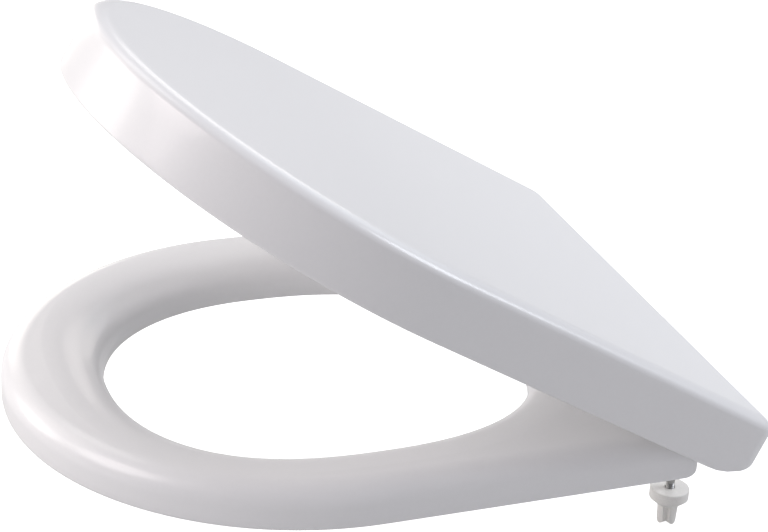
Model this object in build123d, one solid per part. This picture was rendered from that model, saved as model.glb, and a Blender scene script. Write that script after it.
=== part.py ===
from build123d import *
import math
import os

# Driving dimensions in millimetres.
# The origin is on the pan's top surface, midway between the two fixing bolts.
# The seat's front points to -Y, its hinges are at +Y, and +Z is up.

# Lid, a wrap-over moulding
lid_width = 370.0
lid_length = 440.0
lid_height = 42.0
lid_wall = 5.0
lid_nose_length = 193.0
lid_corner_radius = 10.0
lid_shoulder_radius = 8.0
lid_hollow_radius = 2.0
lid_back_flare = 4.2
lid_heel_angle = 21.0
lid_heel_length = 29.0
lid_heel_radius = 8.0
lid_lip_height = 17.3
lid_behind_axis = 16.8
lid_open_angle = 30.5

# Seat ring, a moulding that is hollow underneath
ring_height = 27.8
ring_wall = 6.0
ring_edge_radius = 12.0
ring_hollow_radius = 6.0
ring_corner_radius = 13.0
ring_rear_to_axis = 22.9
ring_above_pan = 8.0
skirt_gap = 1.0

# Opening in the ring, an oval whose wall rolls over in a broad dome to the ring's top
opening_width = 242.4
opening_front_length = 133.5
opening_rear_length = 141.3
opening_fullness = 2.4
ring_front_band = 64.2
opening_lip_height = 2.8
opening_roll_width = 46.0
opening_roll_fullness = 2.6
opening_roll_end_angle = 8.0

# Hinge lugs, pins and cartridges
fixing_pitch = 155.0
axis_before_bolts = 13.2
axis_height = 31.2
pin_radius = 3.5
lug_radius = 9.5
lug_width = 24.0
ring_lug_root_height = 14.0
lid_lug_root_length = 15.0
hinge_side_gap = 0.5
cartridge_radius = 6.0
damper_key_width = 2.4
damper_key_height = 1.2
cap_radius = 5.5
cap_length = 3.2
cap_floor = 1.2

# Hinge bracket, a strap bent up from steel strip
strap_thickness = 2.5
strap_width = 24.0
strap_bend_radius = 2.5
strap_front_to_axis = 22.0
foot_behind_bolts = 11.0
foot_corner_radius = 5.0
eye_wrap_angle = 285.0
bolt_slot_length = 14.0

# Fixings
gasket_thickness = 1.5
gasket_overhang = 1.0
gasket_hole_radius = 4.5
bolt_radius = 3.0
bolt_head_radius = 6.0
bolt_head_height = 3.2
bolt_head_rounding = 2.0
bolt_neck_width = 6.0
bolt_plain_length = 60.0
bolt_thread_relief = 0.3
bolt_end_past_core = 3.0
bolt_end_chamfer = 0.8
nut_below_pan = 63.9
nut_flange_radius = 13.3
nut_flange_height = 7.2
nut_flange_rounding = 1.0
nut_cone_height = 4.7
nut_cone_end_radius = 8.0
nut_core_radius = 4.8
nut_core_length = 8.0
nut_rib_width = 6.2
nut_rib_length = 14.1
nut_rib_reach = 7.4
nut_rib_end_reach = 6.6
nut_bore_chamfer = 0.8
nut_turn = 15.0

# Buffers
ring_buffer_radius = 9.0
ring_buffer_rounding = 2.0
ring_buffer_stem_length = 6.0
ring_buffer_front_setback = 66.0
ring_buffer_front_spread = 95.0
ring_buffer_rear_setback = 60.0
ring_buffer_rear_inset = 31.0
buffer_boss_wall = 2.0
buffer_stem_radius = 3.0
lid_buffer_radius = 7.0
lid_buffer_rounding = 1.5
lid_buffer_stem_length = 2.5
lid_buffer_setback = 51.0
lid_buffer_spread = 90.0

# Fits
seat_clearance = 0.05
running_clearance = 0.05
rest_clearance = 0.3

# Places worked out from the driving dimensions
axis_y = -axis_before_bolts
axis_z = axis_height
lid_rear = axis_y + lid_behind_axis
lid_front = lid_rear - lid_length
lid_half_width = lid_width / 2
lid_bottom = ring_above_pan
lid_top = lid_bottom + lid_height
lid_ceiling = lid_top - lid_wall
lid_lip_bottom = lid_top - lid_lip_height
ring_inset = lid_wall + skirt_gap
ring_front = lid_front + ring_inset
ring_rear = axis_y - ring_rear_to_axis
ring_half_width = lid_half_width - ring_inset
ring_nose_length = lid_nose_length - ring_inset
ring_bottom = ring_above_pan
ring_top = ring_bottom + ring_height
ring_ceiling = ring_top - ring_wall
opening_centre = ring_front + ring_front_band + opening_front_length
bolt_x = fixing_pitch / 2
bracket_inner = bolt_x - strap_width / 2
bracket_outer = bolt_x + strap_width / 2
ring_lug_start = bracket_inner - hinge_side_gap - lug_width
lid_lug_start = bracket_outer + hinge_side_gap
lid_lug_end = lid_lug_start + lug_width
cartridge_bore = pin_radius + running_clearance
cap_inner_start = ring_lug_start - hinge_side_gap - cap_length
cap_outer_start = lid_lug_end + hinge_side_gap
pin_start = cap_inner_start + cap_floor
pin_end = cap_outer_start + cap_length - cap_floor
foot_top = gasket_thickness + strap_thickness
nut_top = -nut_below_pan
nut_flange_bottom = nut_top - nut_flange_height
nut_cone_bottom = nut_flange_bottom - nut_cone_height
nut_core_bottom = nut_cone_bottom - nut_core_length
nut_bottom = nut_cone_bottom - nut_rib_length
thread_radius = bolt_radius - bolt_thread_relief
overrun = 1.0
roll_overrun = 0.4
hinge_axis = Axis((0, axis_y, axis_z), (-1, 0, 0))
sides = {"right": 1, "left": -1}


def d_outline(half_width, front, rear, nose_length, corner_radius):
    """A plan with an elliptical nose, straight sides and a straight back with rounded corners."""
    nose_start = front + nose_length
    corner_x = half_width - corner_radius
    corner_y = rear - corner_radius
    outline = [
        EllipticalCenterArc((0, nose_start), half_width, nose_length, 180, arc_size=180),
        Line((half_width, nose_start), (half_width, corner_y)),
        CenterArc((corner_x, corner_y), corner_radius, 0, 90),
        Line((corner_x, rear), (-corner_x, rear)),
        CenterArc((-corner_x, corner_y), corner_radius, 90, 90),
        Line((-half_width, corner_y), (-half_width, nose_start)),
    ]
    return make_face(outline)


def upright(plan, bottom, top):
    """A plan drawn up from one height to another."""
    return Pos(0, 0, bottom) * extrude(plan, top - bottom)


def along_x(profile, start, length):
    """A profile in the side view, Y across and Z up, drawn out along X from a start."""
    return extrude(Plane.YZ.offset(start) * profile, length)


def drum(radius, start, length):
    """A round bar on the hinge axis."""
    return along_x(Pos(axis_y, axis_z) * Circle(radius), start, length)


def handed(shape, side):
    """The right-hand shape, or its mirror image for the left-hand side."""
    return shape if side > 0 else mirror(shape, about=Plane.YZ)


def rim_rounded(block, height, radius):
    """A block with the edge round its flat top rolled over."""
    rim = block.edges().filter_by_position(Axis.Z, height, height)
    return fillet(rim, radius)


def opening_outline(growth):
    """The ring's opening as a full oval, pushed out evenly by a growth."""
    half_width = opening_width / 2 + growth
    outline_step_count = 32
    power = 2 / opening_fullness
    points = []
    for step in range(outline_step_count):
        angle = 2 * math.pi * step / outline_step_count
        aside = math.cos(angle)
        behind = math.sin(angle)
        half_length = (opening_rear_length if behind > 0 else opening_front_length) + growth
        x = half_width * math.copysign(abs(aside) ** power, aside)
        y = half_length * math.copysign(abs(behind) ** power, behind)
        points.append((x, opening_centre + y))
    return make_face(Spline(points, periodic=True))


def opening_levels(inset):
    """Heights above the ring's underside and the opening's growth at each, from lip to rolled edge."""
    power = 2 / opening_roll_fullness
    end_angle = math.radians(opening_roll_end_angle)
    roll_height = (ring_height - opening_lip_height) / math.cos(end_angle) ** power - inset
    roll_width = opening_roll_width - inset
    levels = [(-overrun, inset)]
    roll_step_count = 6
    for step in range(roll_step_count + 1):
        angle = math.pi / 2 + (end_angle - math.pi / 2) * step / roll_step_count
        rise = roll_height * math.cos(angle) ** power
        run = roll_width * (1 - math.sin(angle) ** power)
        levels.append((opening_lip_height + rise, inset + run))
    last_height, last_growth = levels[-1]
    end_slope = math.tan(end_angle) ** (2 - power) * roll_height / roll_width
    levels.append((last_height + roll_overrun, last_growth + roll_overrun / end_slope))
    return levels


def ring_form(inset, edge_radius, bottom):
    """The ring as a full solid, or its hollow when pulled in by an inset."""
    top = ring_top - inset
    plan = d_outline(
        ring_half_width - inset,
        ring_front + inset,
        ring_rear - inset,
        ring_nose_length - inset,
        ring_corner_radius - inset,
    )
    block = rim_rounded(upright(plan, bottom, top), top, edge_radius)
    sections = []
    for height, growth in opening_levels(inset):
        sections.append(Pos(0, 0, ring_bottom + height) * opening_outline(growth))
    return block - loft(sections)


def ring_buffer_places():
    """The four feet under the ring, as names and places."""
    places = {}
    rear_spread = ring_half_width - ring_buffer_rear_inset
    for name, side in sides.items():
        front = (side * ring_buffer_front_spread, ring_front + ring_buffer_front_setback)
        rear = (side * rear_spread, ring_rear - ring_buffer_rear_setback)
        places["ring_buffer_front_" + name] = front
        places["ring_buffer_rear_" + name] = rear
    return places


def make_ring():
    """The seat ring: a channel open underneath, with buffer bosses and two hinge lugs."""
    full_form = ring_form(0, ring_edge_radius, ring_bottom)
    ring = full_form - ring_form(ring_wall, ring_hollow_radius, ring_bottom - overrun)
    boss_radius = ring_buffer_radius + buffer_boss_wall
    for x, y in ring_buffer_places().values():
        boss = Pos(x, y) * upright(Circle(boss_radius), ring_bottom, ring_ceiling + overrun)
        ring += boss & full_form
        socket_top = ring_bottom + ring_buffer_stem_length
        ring -= Pos(x, y) * upright(Circle(buffer_stem_radius + seat_clearance), ring_bottom, socket_top)
    root_centre = ring_rear - ring_wall / 2
    root_middle = (ring_bottom + ring_ceiling) / 2
    root = Pos(root_centre, root_middle) * Rectangle(ring_wall, ring_lug_root_height)
    eye = Pos(axis_y, axis_z) * Circle(lug_radius)
    lug = along_x(make_hull(root.edges() + eye.edges()), ring_lug_start, lug_width)
    bore = drum(cartridge_radius + seat_clearance, ring_lug_start, lug_width)
    for side in sides.values():
        ring += handed(lug, side)
        ring -= handed(bore, side)
    return ring - handed(damper_key(ring_lug_start, seat_clearance), sides["left"])


def heel_cut():
    """What the lid's side skirts lose at the rear, where they slope up and round into the back."""
    back = lid_rear + lid_back_flare
    front = back - lid_heel_length
    slope = math.tan(math.radians(lid_heel_angle))
    start = (front - overrun, lid_bottom - overrun * slope)
    corner = (back, lid_bottom + lid_heel_length * slope)
    edge = FilletPolyline(start, corner, (back, lid_top), radius=lid_heel_radius)
    outside = Polyline((back, lid_top), (back + lid_wall, lid_top), (back + lid_wall, start[1]), start)
    return along_x(make_face([edge, outside]), -lid_width, 2 * lid_width)


def lip_cut():
    """What the lid's back loses between the skirts, so that a short lip stays behind the hinges."""
    depth = lid_wall + lid_back_flare + overrun
    height = lid_lip_bottom - lid_bottom + overrun
    middle = lid_rear - lid_wall + depth / 2
    back = Pos(middle, lid_lip_bottom - height / 2) * Rectangle(depth, height)
    half_length = lid_half_width - lid_corner_radius
    return along_x(back, -half_length, 2 * half_length)


def lid_block(inset, bottom, top):
    """The lid as a full block whose back leans out towards its foot, or its hollow when pulled in."""
    sections = []
    for height in (bottom, top):
        flare = lid_back_flare * (lid_top - height) / lid_height
        plan = d_outline(
            lid_half_width - inset,
            lid_front + inset,
            lid_rear + flare - inset,
            lid_nose_length - inset,
            lid_corner_radius - inset,
        )
        sections.append(Pos(0, 0, height) * plan)
    return loft(sections, ruled=True)


def lid_buffer_place(side):
    """Where a buffer sits under the shut lid, over the flat of the ring's nose."""
    return Pos(side * lid_buffer_spread, ring_front + lid_buffer_setback)


def make_lid():
    """The lid, modelled shut and then swung up to the angle in which it rests."""
    lid = rim_rounded(lid_block(0, lid_bottom, lid_top), lid_top, lid_shoulder_radius)
    hollow = lid_block(lid_wall, lid_bottom - overrun, lid_ceiling)
    lid -= rim_rounded(hollow, lid_ceiling, lid_hollow_radius)
    lid -= heel_cut()
    lid -= lip_cut()
    eye = Pos(axis_y, axis_z) * Circle(lug_radius)
    root_front = axis_y - lid_lug_root_length
    root_rear = lid_rear - lid_wall
    root_centre = Pos((root_front + root_rear) / 2, lid_ceiling + lid_wall / 4)
    root = root_centre * Rectangle(root_rear - root_front, lid_wall / 2)
    lug = along_x(make_hull(root.edges() + eye.edges()), lid_lug_start, lug_width)
    bore = drum(cartridge_radius + seat_clearance, lid_lug_start, lug_width)
    socket_top = lid_ceiling + lid_buffer_stem_length
    socket = upright(Circle(buffer_stem_radius + seat_clearance), lid_ceiling, socket_top)
    for side in sides.values():
        lid += handed(lug, side)
        lid -= handed(bore, side)
        lid -= lid_buffer_place(side) * socket
    lid -= damper_key(lid_lug_start, seat_clearance)
    return swung_up(lid)


def swung_up(shape):
    """A piece of the shut lid, turned with it to the angle in which it rests."""
    return shape.rotate(hinge_axis, lid_open_angle)


def make_lid_buffer(side):
    """A soft pad pressed into the lid, just clear of the ring when the lid is shut."""
    pad = upright(Circle(lid_buffer_radius), ring_top + rest_clearance, lid_ceiling)
    pad = fillet(pad.edges().sort_by(Axis.Z)[0], lid_buffer_rounding)
    pad += upright(Circle(buffer_stem_radius), lid_ceiling, lid_ceiling + lid_buffer_stem_length)
    return swung_up(lid_buffer_place(side) * pad)


def make_ring_buffer(place):
    """A soft foot pressed into a boss under the ring, resting on the pan."""
    foot = upright(Circle(ring_buffer_radius), 0, ring_bottom)
    foot = fillet(foot.edges().sort_by(Axis.Z)[0], ring_buffer_rounding)
    foot += upright(Circle(buffer_stem_radius), ring_bottom, ring_bottom + ring_buffer_stem_length)
    return Pos(*place) * foot


def damper_key(start, clearance):
    """The rib that stops a damper cartridge from turning in its lug."""
    rib_top = axis_z + cartridge_radius + damper_key_height + clearance
    rib_width = damper_key_width + 2 * clearance
    rib = Pos(axis_y, (axis_z + rib_top) / 2) * Rectangle(rib_width, rib_top - axis_z)
    rib -= Pos(axis_y, axis_z) * Circle(cartridge_radius - damper_key_height)
    return along_x(rib, start, lug_width)


def make_bush(start):
    """A plain sleeve that fills a lug's bore and turns on the pin."""
    return drum(cartridge_radius, start, lug_width) - drum(cartridge_bore, start, lug_width)


def make_damper(start):
    """A rotary damper cartridge: a sleeve on the pin, keyed to its lug."""
    return make_bush(start) + damper_key(start, 0)


def make_bracket():
    """A steel strap: a flat foot, a riser in front of the hinge and an eye rolled round the pin."""
    half_thickness = strap_thickness / 2
    eye_radius = pin_radius + seat_clearance + half_thickness
    foot_z = gasket_thickness + half_thickness
    riser_y = axis_y - strap_front_to_axis + half_thickness
    arm_z = axis_z + eye_radius
    corners = [(foot_behind_bolts, foot_z), (riser_y, foot_z), (riser_y, arm_z), (axis_y, arm_z)]
    strip = FilletPolyline(*corners, radius=strap_bend_radius + half_thickness)
    eye = CenterArc((axis_y, axis_z), eye_radius, 90, -eye_wrap_angle)
    strap = along_x(trace([strip, eye], line_width=strap_thickness), bracket_inner, strap_width)
    foot_end = strap.edges().filter_by(Axis.Z).group_by(Axis.Y)[-1]
    strap = fillet(foot_end, foot_corner_radius)
    slot = SlotOverall(bolt_slot_length, bolt_neck_width + 2 * seat_clearance, rotation=90)
    return strap - Pos(bolt_x, 0) * upright(slot, 0, foot_top + overrun)


def make_pin():
    """The hinge pin, held in the bracket's eye and carrying both lugs."""
    return drum(pin_radius, pin_start, pin_end - pin_start)


def make_cap(start, cup_start):
    """A push-on cap, with a cup that takes one end of the hinge pin."""
    cup = drum(pin_radius + seat_clearance, cup_start, cap_length - cap_floor)
    return drum(cap_radius, start, cap_length) - cup


def make_gasket():
    """A soft pad under the bracket's foot, with a round hole for the bolt."""
    front = axis_y - strap_front_to_axis
    rear = foot_behind_bolts + gasket_overhang
    width = strap_width + 2 * gasket_overhang
    pad = Pos(bolt_x, (front + rear) / 2) * RectangleRounded(width, rear - front, foot_corner_radius)
    pad -= Pos(bolt_x, 0) * Circle(gasket_hole_radius)
    return upright(pad, 0, gasket_thickness)


def make_bolt():
    """A fixing bolt: a low round head, a square neck in the bracket's slot and a long shank."""
    head = upright(Circle(bolt_head_radius), foot_top, foot_top + bolt_head_height)
    head = fillet(head.edges().sort_by(Axis.Z)[-1], bolt_head_rounding)
    neck = upright(Rectangle(bolt_neck_width, bolt_neck_width), gasket_thickness, foot_top)
    shank = upright(Circle(bolt_radius), -bolt_plain_length, gasket_thickness)
    bolt_end = nut_core_bottom - bolt_end_past_core
    thread = upright(Circle(thread_radius), bolt_end, -bolt_plain_length)
    thread = chamfer(thread.edges().sort_by(Axis.Z)[0], bolt_end_chamfer)
    return Pos(bolt_x, 0) * (head + neck + shank + thread)


def nut_ribs():
    """Two crossed tongues with round ends, pared down by a slim cone."""
    half_width = nut_rib_width / 2
    straight = nut_rib_length - half_width
    tongue = Pos(0, nut_cone_bottom - straight / 2) * Rectangle(nut_rib_width, straight)
    tongue += Pos(0, nut_bottom + half_width) * Circle(half_width)
    rib = extrude(Plane.XZ * tongue, nut_rib_reach, both=True)
    slim_cone = Cone(nut_rib_end_reach, nut_rib_reach, nut_rib_length)
    ribs = (rib + Rot(0, 0, 90) * rib) & Pos(0, 0, nut_bottom + nut_rib_length / 2) * slim_cone
    return Rot(0, 0, nut_turn) * ribs


def make_nut():
    """A flanged plastic nut: a disc on a cone and a short core, with crossed ribs for the fingers."""
    half_profile = Polyline(
        (0, nut_top),
        (nut_flange_radius, nut_top),
        (nut_flange_radius, nut_flange_bottom),
        (nut_cone_end_radius, nut_cone_bottom),
        (nut_core_radius, nut_cone_bottom),
        (nut_core_radius, nut_core_bottom),
        (0, nut_core_bottom),
        close=True,
    )
    nut = revolve(Plane.XZ * make_face(half_profile), Axis.Z)
    nut = rim_rounded(nut, nut_top, nut_flange_rounding) + nut_ribs()
    bore_radius = thread_radius + seat_clearance
    nut -= upright(Circle(bore_radius), nut_bottom, nut_top)
    mouth = nut.edges().filter_by_position(Axis.Z, nut_top, nut_top).sort_by(SortBy.RADIUS)[0]
    nut = chamfer(mouth, nut_bore_chamfer)
    return Pos(bolt_x, 0) * nut


parts = {}
parts["lid"] = make_lid()
parts["seat_ring"] = make_ring()
parts["lid_damper"] = swung_up(make_damper(lid_lug_start))
parts["lid_bush"] = swung_up(handed(make_bush(lid_lug_start), sides["left"]))
parts["ring_damper"] = handed(make_damper(ring_lug_start), sides["left"])
parts["ring_bush"] = make_bush(ring_lug_start)
for node, place in ring_buffer_places().items():
    parts[node] = make_ring_buffer(place)
for hand, side in sides.items():
    parts["lid_buffer_" + hand] = make_lid_buffer(side)
    parts["hinge_bracket_" + hand] = handed(make_bracket(), side)
    parts["hinge_pin_" + hand] = handed(make_pin(), side)
    parts["pin_cap_inner_" + hand] = handed(make_cap(cap_inner_start, pin_start), side)
    parts["pin_cap_outer_" + hand] = handed(make_cap(cap_outer_start, cap_outer_start), side)
    parts["foot_gasket_" + hand] = handed(make_gasket(), side)
    parts["fixing_bolt_" + hand] = handed(make_bolt(), side)
    parts["fixing_nut_" + hand] = handed(make_nut(), side)

os.makedirs("parts", exist_ok=True)
for node, solid in parts.items():
    export_step(solid, "parts/" + node + ".step")
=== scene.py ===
import bpy
import math
from mathutils import Matrix, Vector


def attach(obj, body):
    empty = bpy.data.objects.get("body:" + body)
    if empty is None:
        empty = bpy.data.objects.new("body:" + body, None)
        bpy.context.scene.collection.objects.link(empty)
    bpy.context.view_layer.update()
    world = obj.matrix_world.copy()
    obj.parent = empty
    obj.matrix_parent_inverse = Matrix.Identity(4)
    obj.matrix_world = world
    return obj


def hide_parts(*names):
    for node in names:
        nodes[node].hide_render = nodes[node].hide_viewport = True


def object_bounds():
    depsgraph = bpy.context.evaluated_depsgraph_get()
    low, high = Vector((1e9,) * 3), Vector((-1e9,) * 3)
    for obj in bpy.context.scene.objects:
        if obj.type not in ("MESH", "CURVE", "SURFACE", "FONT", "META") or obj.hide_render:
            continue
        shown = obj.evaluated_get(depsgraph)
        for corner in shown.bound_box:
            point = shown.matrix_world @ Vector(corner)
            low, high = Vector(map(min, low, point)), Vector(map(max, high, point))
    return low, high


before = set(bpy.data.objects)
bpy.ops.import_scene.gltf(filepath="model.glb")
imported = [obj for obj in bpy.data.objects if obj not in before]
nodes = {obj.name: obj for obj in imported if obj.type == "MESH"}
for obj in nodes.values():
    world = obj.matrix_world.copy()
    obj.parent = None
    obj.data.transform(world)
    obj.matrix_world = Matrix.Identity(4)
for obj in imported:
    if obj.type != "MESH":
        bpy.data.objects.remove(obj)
cad_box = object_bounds()

# Foot gaskets
# Two flat pads of pale soft rubber, punched from sheet with a hole for the bolt.
# Each lies between a hinge strap's foot and the pan, and keeps the steel off the glaze.
millimetre = 0.001
sides = {"right": 1, "left": -1}


def grained_finish(
    name, dark, light, roughness, grain, depth, stretch=(1, 1, 1), metallic=0.0, coat=0.0
):
    """A surface whose tone, gloss and relief follow one grain, with a depth in millimetres."""
    tone_span = (0.3, 0.7)
    gloss_spread = 0.15
    grain_detail = 4.0
    coat_roughness = 0.08
    finish = bpy.data.materials.new(name)
    finish.use_nodes = True
    tree = finish.node_tree
    surface = tree.nodes["Principled BSDF"]
    surface.inputs["Metallic"].default_value = metallic
    surface.inputs["Coat Weight"].default_value = coat
    surface.inputs["Coat Roughness"].default_value = coat_roughness
    place = tree.nodes.new("ShaderNodeTexCoord")
    stretched = tree.nodes.new("ShaderNodeMapping")
    stretched.inputs["Scale"].default_value = stretch
    specks = tree.nodes.new("ShaderNodeTexNoise")
    specks.inputs["Scale"].default_value = grain
    specks.inputs["Detail"].default_value = grain_detail
    tone = tree.nodes.new("ShaderNodeValToRGB")
    for stop, share, colour in zip(tone.color_ramp.elements, tone_span, (dark, light)):
        stop.position = share
        stop.color = (*colour, 1)
    gloss = tree.nodes.new("ShaderNodeMapRange")
    gloss.inputs["To Min"].default_value = roughness * (1 - gloss_spread)
    gloss.inputs["To Max"].default_value = roughness * (1 + gloss_spread)
    relief = tree.nodes.new("ShaderNodeBump")
    relief.inputs["Distance"].default_value = depth * millimetre
    tree.links.new(place.outputs["Object"], stretched.inputs["Vector"])
    tree.links.new(stretched.outputs["Vector"], specks.inputs["Vector"])
    tree.links.new(specks.outputs["Fac"], tone.inputs["Fac"])
    tree.links.new(specks.outputs["Fac"], gloss.inputs["Value"])
    tree.links.new(specks.outputs["Fac"], relief.inputs["Height"])
    tree.links.new(tone.outputs["Color"], surface.inputs["Base Color"])
    tree.links.new(gloss.outputs["Result"], surface.inputs["Roughness"])
    tree.links.new(relief.outputs["Normal"], surface.inputs["Normal"])
    return finish


def dress(node, finish):
    """Gives a solid of the part its finish."""
    nodes[node].data.materials.clear()
    nodes[node].data.materials.append(finish)


pad_rubber = grained_finish(
    "gasket_rubber", (0.42, 0.42, 0.41), (0.5, 0.5, 0.49), roughness=0.7, grain=900, depth=0.06
)
for side in sides:
    dress("foot_gasket_" + side, pad_rubber)

# Hinge brackets
# Straps of stainless strip with a flat slotted foot, a riser and an eye rolled round the pin.
# They are blanked, bent on a press and brushed along the strip, and the bolts clamp their feet.
strip_easing = 0.4


def ease_edges(finish, radius):
    """Makes the finish show the small rounding, in millimetres, of a tumbled or moulded edge."""
    tree = finish.node_tree
    rounding = tree.nodes.new("ShaderNodeBevel")
    rounding.samples = 6
    rounding.inputs["Radius"].default_value = radius * millimetre
    relief = tree.nodes["Bump"]
    tree.links.new(rounding.outputs["Normal"], relief.inputs["Normal"])


brushed_strip = grained_finish(
    "hinge_steel", (0.42, 0.42, 0.41), (0.6, 0.6, 0.59),
    roughness=0.32, grain=260, depth=0.03, stretch=(9, 1, 1), metallic=1.0,
)
ease_edges(brushed_strip, strip_easing)
for side in sides:
    dress("hinge_bracket_" + side, brushed_strip)

# Fixing bolts
# Two long stainless M6 bolts with a low domed head and a square neck that sits in the strap's slot.
# They are headed and thread-rolled, go down through the pan and are drawn tight by the nuts.
bolt_spacing = 155.0
head_seat = 4.0
head_height = 3.2
head_radius = 6.0
head_flat_radius = 1.8
head_rounding = 2.0
neck_half = 3.0
neck_end = 0.4
shank_radius = 3.0
shank_start = 0.0
shank_end = -59.4
thread_start = -60.0
thread_pitch = 1.0
thread_root = 2.45
thread_crest = 2.95
thread_flank = 2.4
thread_root_flat = 0.1
bolt_end = -86.8
end_chamfer = 0.8
bolt_steps = 36
rows_a_pitch = 8
sharp_angle = math.radians(38)
bolt_turns = [2 * math.pi * step / bolt_steps for step in range(bolt_steps)]


def closed_mesh(name, shells, body):
    """One object from closed shells of points in millimetres, smooth but for its true edges."""
    points = []
    faces = []
    for shell_points, shell_faces in shells:
        volume = 0.0
        for face in shell_faces:
            first = Vector(shell_points[face[0]])
            for place in range(1, len(face) - 1):
                second = Vector(shell_points[face[place]])
                third = Vector(shell_points[face[place + 1]])
                volume += first.dot(second.cross(third))
        start = len(points)
        points.extend(shell_points)
        for face in shell_faces:
            turned = face if volume > 0 else face[::-1]
            faces.append([start + corner for corner in turned])
    mesh = bpy.data.meshes.new(name)
    mesh.from_pydata([Vector(point) * millimetre for point in points], [], faces)
    mesh.shade_smooth()
    mesh.set_sharp_from_angle(angle=sharp_angle)
    piece = bpy.data.objects.new(name, mesh)
    bpy.context.scene.collection.objects.link(piece)
    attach(piece, body)
    return piece


def skin(loops, joined=False):
    """Quads between loops of points, each closed on itself; joined closes the last to the first."""
    count = len(loops[0])
    points = [point for loop in loops for point in loop]
    faces = []
    spans = len(loops) if joined else len(loops) - 1
    for row in range(spans):
        below = row * count
        above = ((row + 1) % len(loops)) * count
        for step in range(count):
            after = (step + 1) % count
            faces.append([below + step, below + after, above + after, above + step])
    return points, faces


def capped(loops):
    """A closed shell from loops, with the first and the last loop shut by flat faces."""
    points, faces = skin(loops)
    count = len(loops[0])
    faces.append(list(range(count))[::-1])
    faces.append([len(points) - count + step for step in range(count)])
    return points, faces


def quarter(steps):
    """Angles in even steps from nought to a right angle."""
    return [math.pi / 2 * step / steps for step in range(steps + 1)]


def thread_reach(height):
    """How far the thread stands out at each bearing, at one height."""
    limit = thread_crest - max(0.0, end_chamfer - (height - bolt_end))
    reach = []
    for turn in bolt_turns:
        phase = (height / thread_pitch - turn / (2 * math.pi)) % 1.0
        rise = max(0.0, min(1.0, thread_flank * abs(phase - 0.5) - thread_root_flat))
        reach.append(min(thread_root + (thread_crest - thread_root) * rise, limit))
    return reach


def bolt_loops(x):
    """The bolt from its domed head down to its chamfered end."""
    head_top = head_seat + head_height
    head = [(head_top, head_flat_radius)]
    for angle in quarter(8):
        out = head_radius - head_rounding * (1 - math.sin(angle))
        head.append((head_top - head_rounding * (1 - math.cos(angle)), out))
    head.append((head_seat, head_radius))
    square = [neck_half / max(abs(math.cos(turn)), abs(math.sin(turn))) for turn in bolt_turns]
    sections = [(height, [radius] * bolt_steps) for height, radius in head]
    sections += [(height, square) for height in (head_seat, neck_end)]
    sections += [(height, [shank_radius] * bolt_steps) for height in (shank_start, shank_end)]
    rows = int((thread_start - bolt_end) / thread_pitch * rows_a_pitch)
    for row in range(rows + 1):
        height = thread_start - thread_pitch * row / rows_a_pitch
        sections.append((height, thread_reach(height)))
    loops = []
    for height, reach in sections:
        loop = []
        for turn, out in zip(bolt_turns, reach):
            loop.append((x + out * math.cos(turn), out * math.sin(turn), height))
        loops.append(loop)
    return loops


rolled_steel = grained_finish(
    "bolt_steel", (0.3, 0.3, 0.3), (0.42, 0.42, 0.41),
    roughness=0.34, grain=420, depth=0.02, stretch=(1, 1, 6), metallic=1.0,
)
for side, way in sides.items():
    shell = capped(bolt_loops(way * bolt_spacing / 2))
    bolt = closed_mesh("threaded_bolt_" + side, [shell], "base")
    bolt.data.materials.append(rolled_steel)
    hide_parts("fixing_bolt_" + side)

# Fixing nuts
# White nylon nuts with a broad flange for the pan's underside and four wings for the fingers.
# Each is one injection moulding with a faint spark texture from its tool, screwed up the bolt.
nylon_easing = 0.5
moulded_nylon = grained_finish(
    "nylon_white", (0.79, 0.775, 0.74), (0.85, 0.835, 0.8), roughness=0.42, grain=1100, depth=0.04
)
ease_edges(moulded_nylon, nylon_easing)
for side in sides:
    dress("fixing_nut_" + side, moulded_nylon)

# Hinge pins
# Plain round bars of ground stainless steel, one on each side.
# Each is a press fit in its strap's eye, and both the ring's and the lid's lugs turn on it.
ground_bar = grained_finish(
    "pin_steel", (0.5, 0.5, 0.5), (0.62, 0.62, 0.61),
    roughness=0.2, grain=380, depth=0.01, stretch=(8, 1, 1), metallic=1.0,
)
for side in sides:
    dress("hinge_pin_" + side, ground_bar)

# Pin caps
# Small white nylon cups that are pushed on the pins' ends once the lugs are on.
# They hide the steel and keep the lugs from working their way along the pins.
for side in sides:
    for end in ("inner", "outer"):
        dress("pin_cap_" + end + "_" + side, moulded_nylon)

# Seat ring
# One compression moulding in white thermoset, D-shaped outside, with a wide oval opening.
# Its top rolls down into the opening, its underside is a channel, and two lugs carry the hinge.
ring_half_width = 179.0
ring_front = -430.39
ring_rear = -36.1
ring_nose = 187.0
ring_corner = 13.0
ring_least_corner = 0.8
ring_foot = 8.0
ring_top = 35.8
ring_wall = 6.0
ring_edge_width = 15.0
ring_edge_height = 14.0
ring_hollow_edge = 6.0
foot_rounding = 3.0
opening_half_width = 121.2
opening_front_length = 133.5
opening_rear_length = 141.3
opening_fullness = 2.4
opening_middle = -232.7
lip_front_fullness = 2.2
lip_front_less = 2.0
lip_blend = 10.0
lip_rounding = 0.8
roll_lip = 2.8
roll_width = 46.0
roll_fullness = 2.6
roll_end = math.radians(8.0)
buffer_front_spread = 95.0
buffer_front_setback = 66.0
buffer_rear_inset = 31.0
buffer_rear_setback = 60.0
boss_radius = 11.0
boss_chamfer = 0.5
boss_overlap = 1.5
hinge_y = -13.2
hinge_z = 31.2
lug_radius = 9.5
lug_width = 24.0
lug_chamfer = 0.5
cartridge_bore = 6.05
key_half_width = 1.25
key_top = 7.25
ring_lug_start = 41.0
ring_root_low = 11.9
ring_root_height = 14.0
ring_root_depth = 5.0


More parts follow.
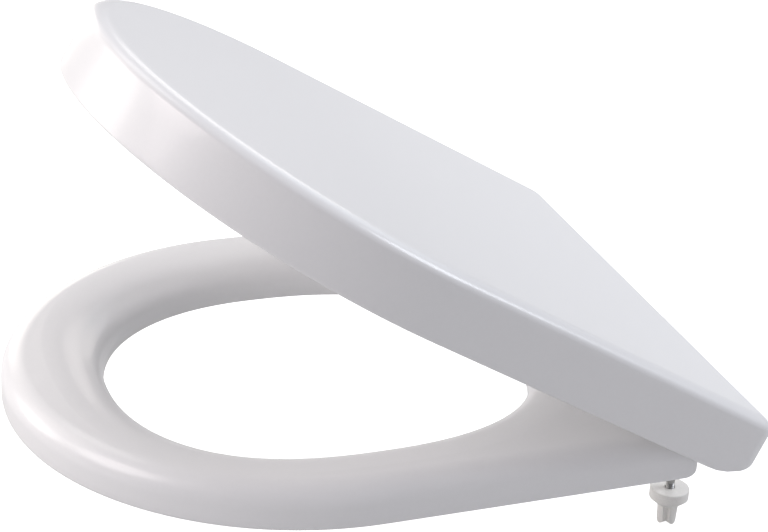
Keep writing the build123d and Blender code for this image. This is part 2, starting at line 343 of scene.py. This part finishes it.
def d_outline(half_width, front, rear, nose, corner):
    """Points round a D-shaped plan: elliptical nose, straight sides, round corners, flat back."""
    nose_steps, side_steps, corner_steps, back_steps = 72, 30, 14, 20
    back_start = 0.002
    nose_end = front + nose
    side_end = rear - corner
    half = []
    for angle in quarter(nose_steps)[:-1]:
        half.append((half_width * math.sin(angle), nose_end - nose * math.cos(angle)))
    for step in range(side_steps):
        half.append((half_width, nose_end + (side_end - nose_end) * step / side_steps))
    for angle in quarter(corner_steps):
        x = half_width - corner + corner * math.cos(angle)
        half.append((x, side_end + corner * math.sin(angle)))
    for step in range(back_steps + 1):
        share = back_start + (1 - back_start) * step / back_steps
        half.append(((half_width - corner) * (1 - share), rear))
    return half + [(-x, y) for x, y in half[-2:0:-1]]


def ring_outline(inset):
    """The ring's plan, pulled in by an inset."""
    return d_outline(
        ring_half_width - inset,
        ring_front + inset,
        ring_rear - inset,
        ring_nose - inset,
        max(ring_corner - inset, ring_least_corner),
    )


ring_bearings = [math.atan2(y - opening_middle, x) for x, y in ring_outline(ring_edge_width)]


def opening_pull(aside, behind, growth):
    """Above 1 outside the opening's oval and below 1 inside it; the lip's front is rounder."""
    settled = min(max(growth / lip_blend, 0.0), 1.0)
    settled = settled * settled * (3 - 2 * settled)
    length = opening_rear_length + growth
    fullness = opening_fullness
    if behind < 0:
        length = opening_front_length + growth - lip_front_less * (1 - settled)
        fullness = lip_front_fullness + (opening_fullness - lip_front_fullness) * settled
    width = opening_half_width + growth
    return (abs(aside / width) ** fullness + abs(behind / length) ** fullness) ** (1 / fullness)


def opening_line(growth):
    """The opening's full oval, pushed out by a growth, at the bearings of the ring's outline."""
    line = []
    for bearing in ring_bearings:
        aside = math.cos(bearing)
        behind = math.sin(bearing)
        reach = 1 / opening_pull(aside, behind, growth)
        line.append((reach * aside, opening_middle + reach * behind))
    return line


def roll_profile(inset, steps):
    """Growth and height pairs of the roll, from the ring's top down to the opening's lip."""
    crowding = 1.3
    power = 2 / roll_fullness
    height = (ring_top - ring_foot - roll_lip) / math.cos(roll_end) ** power - inset
    width = roll_width - inset
    profile = []
    for step in range(steps + 1):
        angle = roll_end + (math.pi / 2 - roll_end) * (step / steps) ** crowding
        rise = height * max(math.cos(angle), 0.0) ** power
        run = width * (1 - math.sin(angle) ** power)
        profile.append((inset + run, ring_foot + roll_lip + rise))
    return profile


def level(line, height):
    """A plan line at one height."""
    return [(x, y, height) for x, y in line]


def between(loop, other, share):
    """A loop part of the way from one loop to another."""
    return [tuple(Vector(a).lerp(Vector(b), share)) for a, b in zip(loop, other)]


def ring_loops():
    """The ring's section, carried round: outside, top, roll, lip, and back through the channel."""
    top_shares = (0.06, 0.35, 0.65, 0.94)
    loops = []
    for angle in quarter(4):
        inset = foot_rounding * (1 - math.sin(angle))
        height = ring_foot + foot_rounding * (1 - math.cos(angle))
        loops.append(level(ring_outline(inset), height))
    edge_start = ring_top - ring_edge_height
    loops.append(level(ring_outline(0), (ring_foot + edge_start) / 2))
    for angle in quarter(12):
        inset = ring_edge_width * (1 - math.cos(angle))
        loops.append(level(ring_outline(inset), edge_start + ring_edge_height * math.sin(angle)))
    edge_end = loops[-1]
    roll = [level(opening_line(growth), height) for growth, height in roll_profile(0, 26)]
    loops += [between(edge_end, roll[0], share) for share in top_shares]
    loops += roll
    for angle in quarter(4):
        growth = lip_rounding * (1 - math.cos(angle))
        height = ring_foot + lip_rounding * (1 - math.sin(angle))
        loops.append(level(opening_line(growth), height))
    loops.append(level(opening_line(ring_wall), ring_foot))
    ceiling = ring_top - ring_wall
    for growth, height in reversed(roll_profile(ring_wall, 12)):
        loops.append(level(opening_line(growth), min(height, ceiling)))
    hollow_top = ceiling - ring_hollow_edge
    for angle in reversed(quarter(6)):
        inset = ring_wall + ring_hollow_edge * (1 - math.cos(angle))
        loops.append(level(ring_outline(inset), hollow_top + ring_hollow_edge * math.sin(angle)))
    loops.append(level(ring_outline(ring_wall), ring_foot))
    return loops


def channel_height(x, y):
    """How high the channel's ceiling is over a place under the ring."""
    for growth, height in roll_profile(ring_wall, 40):
        if opening_pull(x, y - opening_middle, growth) > 1:
            return min(height, ring_top - ring_wall)
    return ring_foot


def boss(x, y):
    """A round boss in the channel, under which a buffer is pressed in."""
    steps = 40
    low = []
    eased = []
    high = []
    for step in range(steps):
        turn = 2 * math.pi * step / steps
        out = Vector((math.cos(turn), math.sin(turn)))
        rim = Vector((x, y)) + out * boss_radius
        foot = rim - out * boss_chamfer
        low.append((foot.x, foot.y, ring_foot))
        eased.append((rim.x, rim.y, ring_foot + boss_chamfer))
        high.append((rim.x, rim.y, channel_height(rim.x, rim.y) + boss_overlap))
    return capped([low, eased, high])


def lug_reach(ahead, root):
    """Distance from the axis to the lug's outside in one direction."""
    eye_steps = 120
    hair = 1e-9
    turns = [2 * math.pi * step / eye_steps for step in range(eye_steps)]
    eye = [Vector((math.cos(turn), math.sin(turn))) * lug_radius for turn in turns]
    reach = lug_radius
    for corner in root:
        for other in eye + root:
            edge = other - corner
            turn = ahead.x * edge.y - ahead.y * edge.x
            if abs(turn) < hair:
                continue
            along = (corner.x * edge.y - corner.y * edge.x) / turn
            share = (corner.x * ahead.y - corner.y * ahead.x) / turn
            if along > reach and -hair <= share <= 1 + hair:
                reach = along
    return reach


def lug(start, root, keyed):
    """A hinge lug: a bored eye with an arm that spreads to its root, its edges eased."""
    steps = 144
    hair = 1e-6
    ways = []
    for step in range(steps):
        bearing = 2 * math.pi * (step + 0.5) / steps
        ways.append(Vector((math.cos(bearing), math.sin(bearing))))
    outer = [lug_reach(way, root) for way in ways]
    bore = []
    for way in ways:
        hole = cartridge_bore
        if keyed and way.y > 0:
            hole = max(hole, min(key_top / way.y, key_half_width / max(abs(way.x), hair)))
        bore.append(hole)
    end = start + lug_width
    section = [
        (start + lug_chamfer, outer, 0.0),
        (end - lug_chamfer, outer, 0.0),
        (end, outer, lug_chamfer),
        (end, bore, 0.0),
        (start, bore, 0.0),
        (start, outer, lug_chamfer),
    ]
    loops = []
    for x, reaches, less in section:
        loop = []
        for way, reach in zip(ways, reaches):
            out = way * (reach - less)
            loop.append((x, hinge_y + out.x, hinge_z + out.y))
        loops.append(loop)
    return skin(loops, joined=True)


buffer_places = {
    "front": (buffer_front_spread, ring_front + buffer_front_setback),
    "rear": (ring_half_width - buffer_rear_inset, ring_rear - buffer_rear_setback),
}
ring_root = [
    Vector((y - hinge_y, z - hinge_z))
    for y in (ring_rear - ring_root_depth, ring_rear)
    for z in (ring_root_low, ring_root_low + ring_root_height)
]
ring_shells = [skin(ring_loops(), joined=True)]
for side, way in sides.items():
    for x, y in buffer_places.values():
        ring_shells.append(boss(way * x, y))
    lug_start = ring_lug_start if way > 0 else -ring_lug_start - lug_width
    ring_shells.append(lug(lug_start, ring_root, side == "left"))
ring = closed_mesh("rolled_seat_ring", ring_shells, "ring")
polished_white = grained_finish(
    "gloss_white", (0.79, 0.79, 0.795), (0.8, 0.8, 0.805),
    roughness=0.3, grain=420, depth=0.0006, coat=0.15,
)
ring.data.materials.append(polished_white)
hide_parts("seat_ring")

# Ring damper, ring bush and ring buffers
# The damper is a grey plastic cartridge keyed into one lug, the bush a nylon sleeve in the other.
# The four buffers are soft grey mouldings with stems pressed into the bosses, and stand on the pan.
damper_easing = 0.3
damper_plastic = grained_finish(
    "damper_grey", (0.17, 0.175, 0.185), (0.23, 0.235, 0.245), roughness=0.5, grain=1300, depth=0.04
)
ease_edges(damper_plastic, damper_easing)
dress("ring_damper", damper_plastic)
dress("ring_bush", moulded_nylon)
soft_grey = grained_finish(
    "buffer_grey", (0.56, 0.57, 0.58), (0.64, 0.65, 0.66), roughness=0.6, grain=700, depth=0.08
)
for side in sides:
    for end in buffer_places:
        dress("ring_buffer_" + end + "_" + side, soft_grey)

# Lid
# One compression moulding in the same white thermoset: a flat panel with a skirt round the ring.
# Its shoulder is softly rolled over and its heels round up to a short lip at the back.
# Two lugs that hang from the panel turn on the hinge pins.
lid_half_width = 185.0
lid_front = -436.4
lid_rear = 3.6
lid_nose = 193.0
lid_corner = 12.0
lid_least_corner = 1.0
lid_foot = 8.0
lid_top = 50.0
lid_wall = 5.0
lid_back_lean = 0.1
shoulder_width = 12.0
shoulder_height = 6.5
lid_hollow_edge = 2.0
skirt_rounding = 1.6
skirt_inner_rounding = 1.0
lip_bottom = 32.7
lip_end_margin = 0.1
heel_front = -26.0
heel_bow = 0.0131
heel_turn_y = 3.45
heel_radius = 8.0
heel_middle_height = 16.0
panel_middle = -216.0
lid_angle = math.radians(30.5)
lid_lug_start = 90.0
lid_root_ahead = 15.0
lid_root_behind = 11.8
lid_root_depth = 2.5


def lid_outline(inset, height):
    """The lid's plan at a height: the back leans out towards the foot."""
    rear = lid_rear + lid_back_lean * (lid_top - height)
    return d_outline(
        lid_half_width - inset,
        lid_front + inset,
        rear - inset,
        lid_nose - inset,
        max(lid_corner - inset, lid_least_corner),
    )


def heel_height(y):
    """The skirt's lower edge: level, then bowing up, then rounding into the back."""
    bow = lid_foot + heel_bow * max(0.0, min(y, heel_turn_y) - heel_front) ** 2
    if y < heel_turn_y:
        return bow
    steepness = math.atan(2 * heel_bow * (heel_turn_y - heel_front))
    arc_y = heel_turn_y - heel_radius * math.sin(steepness)
    arc_z = bow + heel_radius * math.cos(steepness)
    return arc_z - math.sqrt(max(heel_radius ** 2 - (y - arc_y) ** 2, 0.0))


def skirt_bottoms():
    """The height of the skirt's lower edge at each station round the lid."""
    lip_half_width = lid_half_width - lid_corner - lip_end_margin
    bottoms = []
    for x, y in lid_outline(0, heel_middle_height):
        at_back = y > lid_rear and abs(x) < lip_half_width
        bottoms.append(lip_bottom if at_back else heel_height(y))
    return bottoms


lid_bottoms = skirt_bottoms()


def skirt_loop(inset, share, above, top):
    """A loop on the skirt, a share of the way from just above its lower edge up to a top height."""
    upper = lid_outline(inset, lid_top)
    lower = lid_outline(inset, lid_foot)
    loop = []
    for high, low, bottom in zip(upper, lower, lid_bottoms):
        z = (bottom + above) + (top - bottom - above) * share
        lean = (lid_top - z) / (lid_top - lid_foot)
        loop.append((high[0], high[1] + (low[1] - high[1]) * lean, z))
    return loop


def panel_loops(edge):
    """Loops over a flat panel, from near its middle out to its edge."""
    shares = (0.04, 0.2, 0.4, 0.6, 0.8, 0.93, 0.985)
    middle = [(0.0, panel_middle, edge[0][2])] * len(edge)
    return [between(middle, edge, share) for share in shares]


def lid_loops():
    """The lid's outside from the panel's middle to the skirt's edge, and its inside back again."""
    outer_shares = (0.75, 0.5, 0.25, 0.05, 0.0)
    inner_shares = (0.05, 0.5, 0.95)
    shoulder = []
    for angle in quarter(12):
        inset = shoulder_width * (1 - math.sin(angle))
        height = lid_top - shoulder_height * (1 - math.cos(angle))
        shoulder.append(level(lid_outline(inset, height), height))
    skirt_top = lid_top - shoulder_height
    skirt = [skirt_loop(0, share, skirt_rounding, skirt_top) for share in outer_shares]
    for angle in quarter(4)[1:]:
        inset = skirt_rounding * (1 - math.cos(angle))
        above = skirt_rounding * (1 - math.sin(angle))
        skirt.append(skirt_loop(inset, 0.0, above, skirt_top))
    for angle in quarter(3):
        inset = lid_wall - skirt_inner_rounding * (1 - math.sin(angle))
        above = skirt_inner_rounding * (1 - math.cos(angle))
        skirt.append(skirt_loop(inset, 0.0, above, skirt_top))
    hollow_top = lid_top - lid_wall - lid_hollow_edge
    for share in inner_shares:
        skirt.append(skirt_loop(lid_wall, share, skirt_inner_rounding, hollow_top))
    inside = []
    for angle in quarter(4):
        inset = lid_wall + lid_hollow_edge * (1 - math.cos(angle))
        height = hollow_top + lid_hollow_edge * math.sin(angle)
        inside.append(level(lid_outline(inset, height), height))
    return panel_loops(shoulder[0]) + shoulder + skirt + inside + panel_loops(inside[-1])[::-1]


def swung_up(points):
    """Points of the shut lid, turned about the hinge to where the lid rests."""
    turned = []
    for x, y, z in points:
        along, up = y - hinge_y, z - hinge_z
        y_turned = hinge_y + along * math.cos(lid_angle) + up * math.sin(lid_angle)
        z_turned = hinge_z - along * math.sin(lid_angle) + up * math.cos(lid_angle)
        turned.append((x, y_turned, z_turned))
    return turned


lid_ceiling = lid_top - lid_wall
lid_root = [
    Vector((along, z - hinge_z))
    for along in (-lid_root_ahead, lid_root_behind)
    for z in (lid_ceiling, lid_ceiling + lid_root_depth)
]
lid_shells = [capped(lid_loops())]
for side, way in sides.items():
    lug_start = lid_lug_start if way > 0 else -lid_lug_start - lug_width
    lid_shells.append(lug(lug_start, lid_root, side == "right"))
lid_shells = [(swung_up(points), faces) for points, faces in lid_shells]
lid = closed_mesh("wrap_over_lid", lid_shells, "lid")
lid.data.materials.append(polished_white)
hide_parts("lid")

# Lid damper, lid bush and lid buffers
# Like the ring's: a keyed damper cartridge in one lug and a plain nylon sleeve in the other.
# The two buffers are soft pads pressed into the lid's underside, and meet the ring when it shuts.
dress("lid_damper", damper_plastic)
dress("lid_bush", moulded_nylon)
for side in sides:
    dress("lid_buffer_" + side, soft_grey)

# Floor, light and camera
# A plain white sweep under the seat, lit from all round by big soft boxes so that no shadow drops.
# The camera stands high off the seat's right-hand front corner, as the photograph's does.
floor_half = 30.0
floor_drop = 0.0005
floor_glow = 0.95
card_drop = 0.002
card_glow = 0.032
sheet_shade = 0.6
sky_colour = (0.955, 0.945, 1, 1)
sky_strength = 0.47
light_aim = Vector((0, -0.2, 0.1))
camera_place = Vector((1.2089, -0.6566, 0.7064))
camera_turn = math.radians(68.65)
camera_rise = math.radians(25.56)
camera_roll = math.radians(3.17)
camera_lens = 104.71
film_width = 36
scene = bpy.context.scene
scene.view_settings.view_transform = "Standard"


def ground_sheet(name, height, glow):
    """A wide flat sheet under the seat, plain white and matt."""
    ways = ((-1, -1), (1, -1), (1, 1), (-1, 1))
    corners = [(x * floor_half, y * floor_half, height) for x, y in ways]
    mesh = bpy.data.meshes.new(name)
    mesh.from_pydata(corners, [], [(0, 1, 2, 3)])
    sheet = bpy.data.objects.new(name, mesh)
    scene.collection.objects.link(sheet)
    matt_white = bpy.data.materials.new(name + "_white")
    matt_white.use_nodes = True
    surface = matt_white.node_tree.nodes["Principled BSDF"]
    surface.inputs["Base Color"].default_value = (sheet_shade, sheet_shade, sheet_shade, 1)
    surface.inputs["Roughness"].default_value = 1.0
    surface.inputs["Emission Color"].default_value = (1, 1, 1, 1)
    surface.inputs["Emission Strength"].default_value = glow
    mesh.materials.append(matt_white)
    return sheet


floor_height = cad_box[0].z - floor_drop
floor = ground_sheet("floor", floor_height, floor_glow)
floor.visible_diffuse = False
floor.visible_glossy = False
floor.visible_shadow = False
bounce_card = ground_sheet("bounce_card", floor_height - card_drop, card_glow)
bounce_card.visible_camera = False
studio = bpy.data.worlds.new("studio")
scene.world = studio
studio.use_nodes = True
sky = studio.node_tree.nodes["Background"]
sky.inputs["Color"].default_value = sky_colour
sky.inputs["Strength"].default_value = sky_strength


def soft_box(name, place, size, watts, colour):
    """A round soft box that points at the seat."""
    lamp = bpy.data.lights.new(name, "AREA")
    lamp.shape = "DISK"
    lamp.size = size
    lamp.energy = watts
    lamp.color = colour
    stand = bpy.data.objects.new(name, lamp)
    scene.collection.objects.link(stand)
    stand.location = place
    stand.rotation_mode = "QUATERNION"
    stand.rotation_quaternion = (light_aim - Vector(place)).to_track_quat("-Z", "Y")


soft_box("front", (0.0, -2.2, 1.5), 1.4, 23.1, (1.0, 0.93, 0.93))
soft_box("front_left", (-1.6, -1.6, 1.6), 1.2, 5.1, (1.0, 0.93, 0.84))
soft_box("front_left_low", (-1.3, -2.1, 0.7), 1.2, 15.2, (1.0, 0.97, 0.93))
soft_box("left_low", (-2.3, -0.5, 0.5), 1.2, 6.5, (1.0, 0.95, 0.85))
soft_box("rim", (-2.0, 1.0, 0.9), 1.0, 4.6, (1.0, 0.95, 0.92))
soft_box("top_left", (-1.4, -0.3, 2.0), 1.2, 6.8, (1.0, 0.99, 0.96))
soft_box("rear_left", (-1.3, 1.5, 1.5), 1.2, 4.8, (0.82, 0.93, 1.0))
soft_box("rear", (0.2, 1.9, 1.7), 1.2, 27.8, (0.9, 0.94, 1.0))

back = Vector((
    math.sin(camera_turn) * math.cos(camera_rise),
    -math.cos(camera_turn) * math.cos(camera_rise),
    math.sin(camera_rise),
))
level_right = Vector((math.cos(camera_turn), math.sin(camera_turn), 0))
level_up = back.cross(level_right)
right = level_right * math.cos(camera_roll) + level_up * math.sin(camera_roll)
up = level_up * math.cos(camera_roll) - level_right * math.sin(camera_roll)
lens = bpy.data.cameras.new("camera")
lens.sensor_fit = "HORIZONTAL"
lens.sensor_width = film_width
lens.lens = camera_lens
camera = bpy.data.objects.new("camera", lens)
scene.collection.objects.link(camera)
camera.rotation_mode = "QUATERNION"
facing = Matrix((right, up, back)).transposed().to_4x4()
camera.matrix_world = Matrix.Translation(camera_place) @ facing
scene.camera = camera
